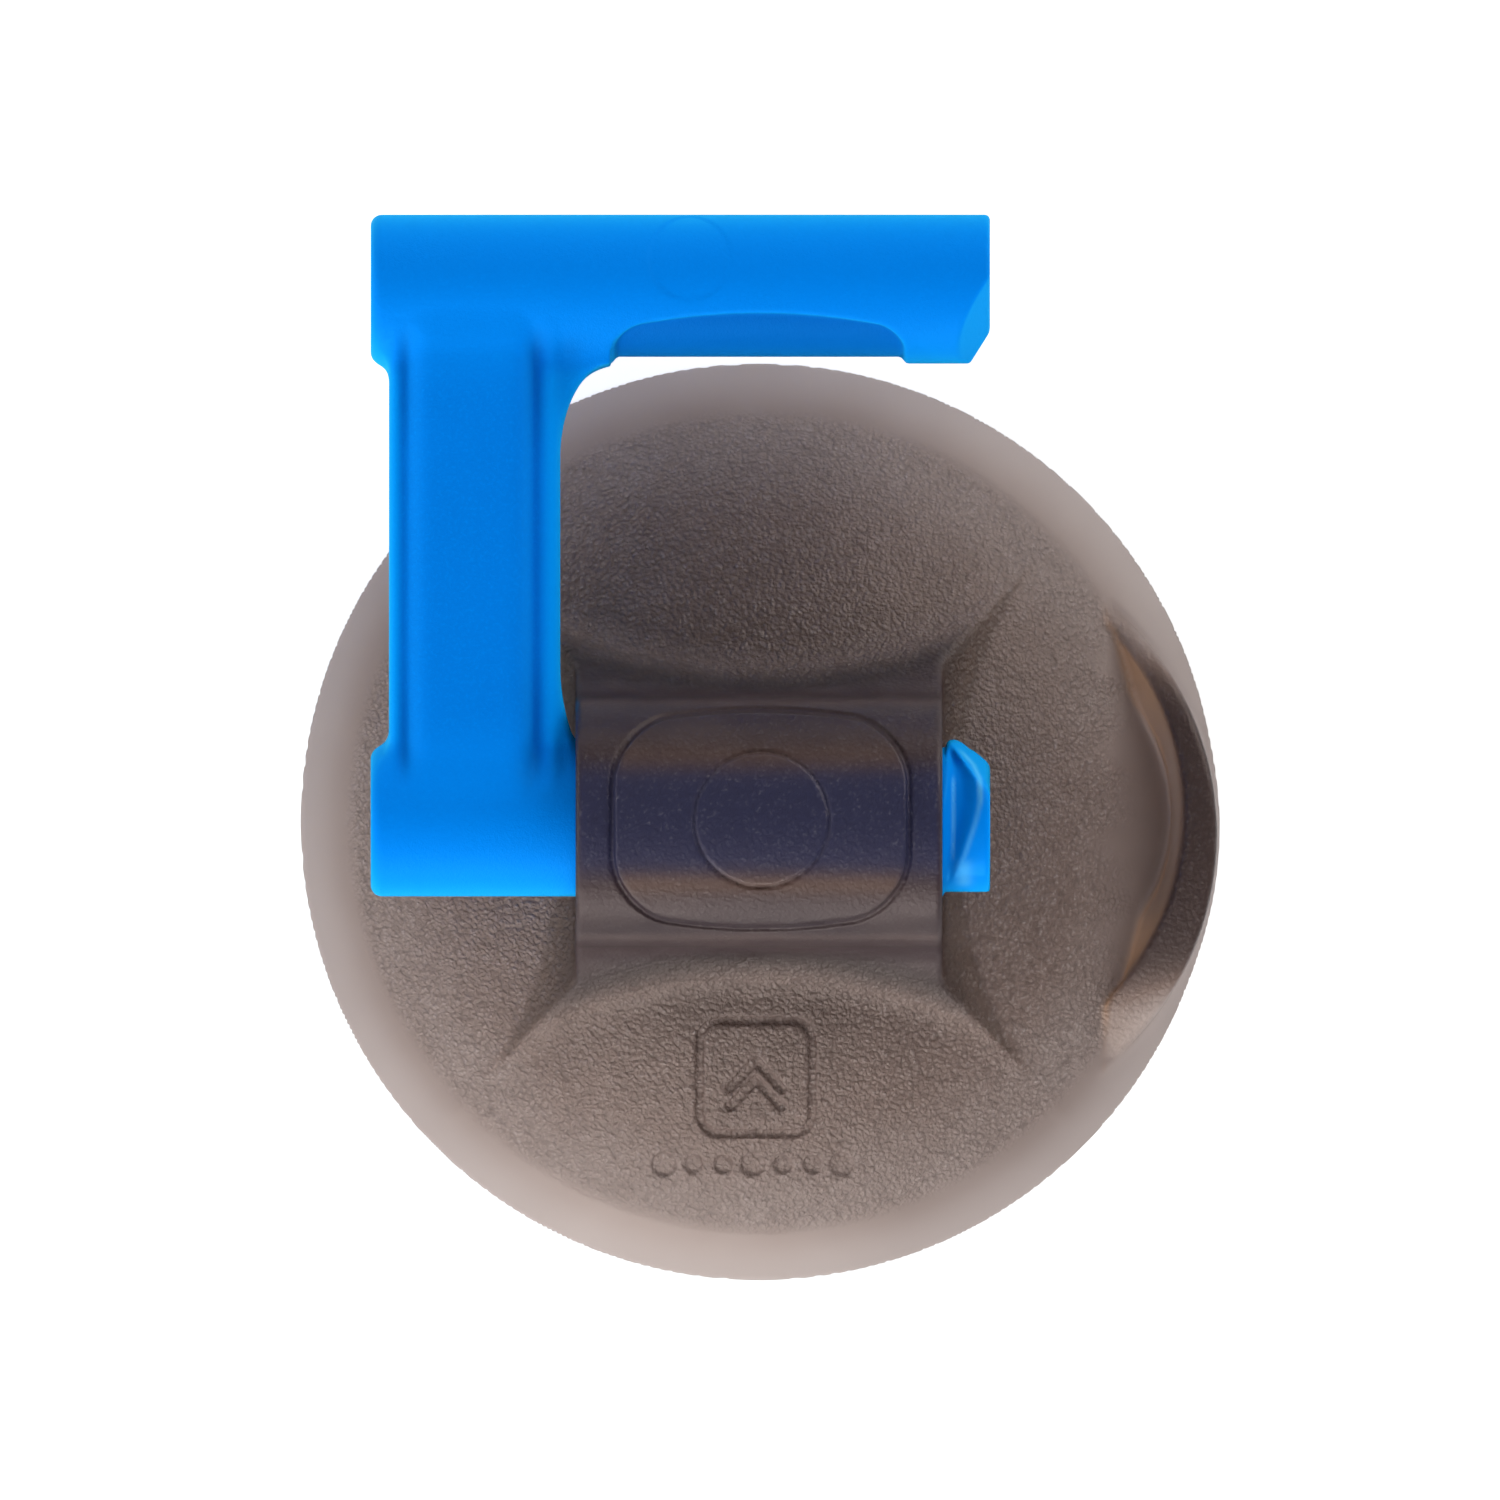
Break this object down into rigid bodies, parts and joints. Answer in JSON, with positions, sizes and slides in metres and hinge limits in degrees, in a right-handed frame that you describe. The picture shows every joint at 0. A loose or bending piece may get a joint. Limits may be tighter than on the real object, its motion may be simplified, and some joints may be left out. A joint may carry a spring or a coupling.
{
  "type": "suction cup pull handle",
  "caption": "Translucent suction cup with a tunnel block on its crown, a folding C-shaped pull handle through it, and a release tab on the rim.",
  "frame": {"origin": "middle of the footprint (bounding box) on the sealing plane; the axis of the cup stands 3.57 mm from it towards -Y", "axes": "+Z away from the sealed surface, X along the axle of the handle with the release tab on +X, +Y towards the grip of the folded handle"},
  "size_m": [0.045, 0.0522, 0.0184],
  "materials": {
    "smoke_elastomer": "smoke-brown translucent elastomer, fine leathery grain on the dome and block, polished lip",
    "smoke_elastomer_tab": "the same elastomer, smooth and seen edge-on through its thickness, so darker",
    "blue_nylon": "satin blue moulded nylon with a very fine spark-eroded grain, glossier on the axle end"
  },
  "bodies": {
    "cup": {"suction_cup": "smoke_elastomer"},
    "tab": {"release_tab": "smoke_elastomer_tab"},
    "handle": {"handle": "blue_nylon"}
  },
  "joints": [
    {"name": "handle_fold", "type": "hinge", "parent": "cup", "child": "handle", "pos_m": [0, -0.00357, 0.01215], "axis": [1, 0, 0], "range_deg": [-10, 190]},
    {"name": "tab_peel", "type": "hinge", "parent": "cup", "child": "tab", "pos_m": [0.0172, -0.00357, 0.0042], "axis": [0, -1, 0], "range_deg": [0, 35], "stiffness_Nm_per_rad": 0.0005}
  ]
}
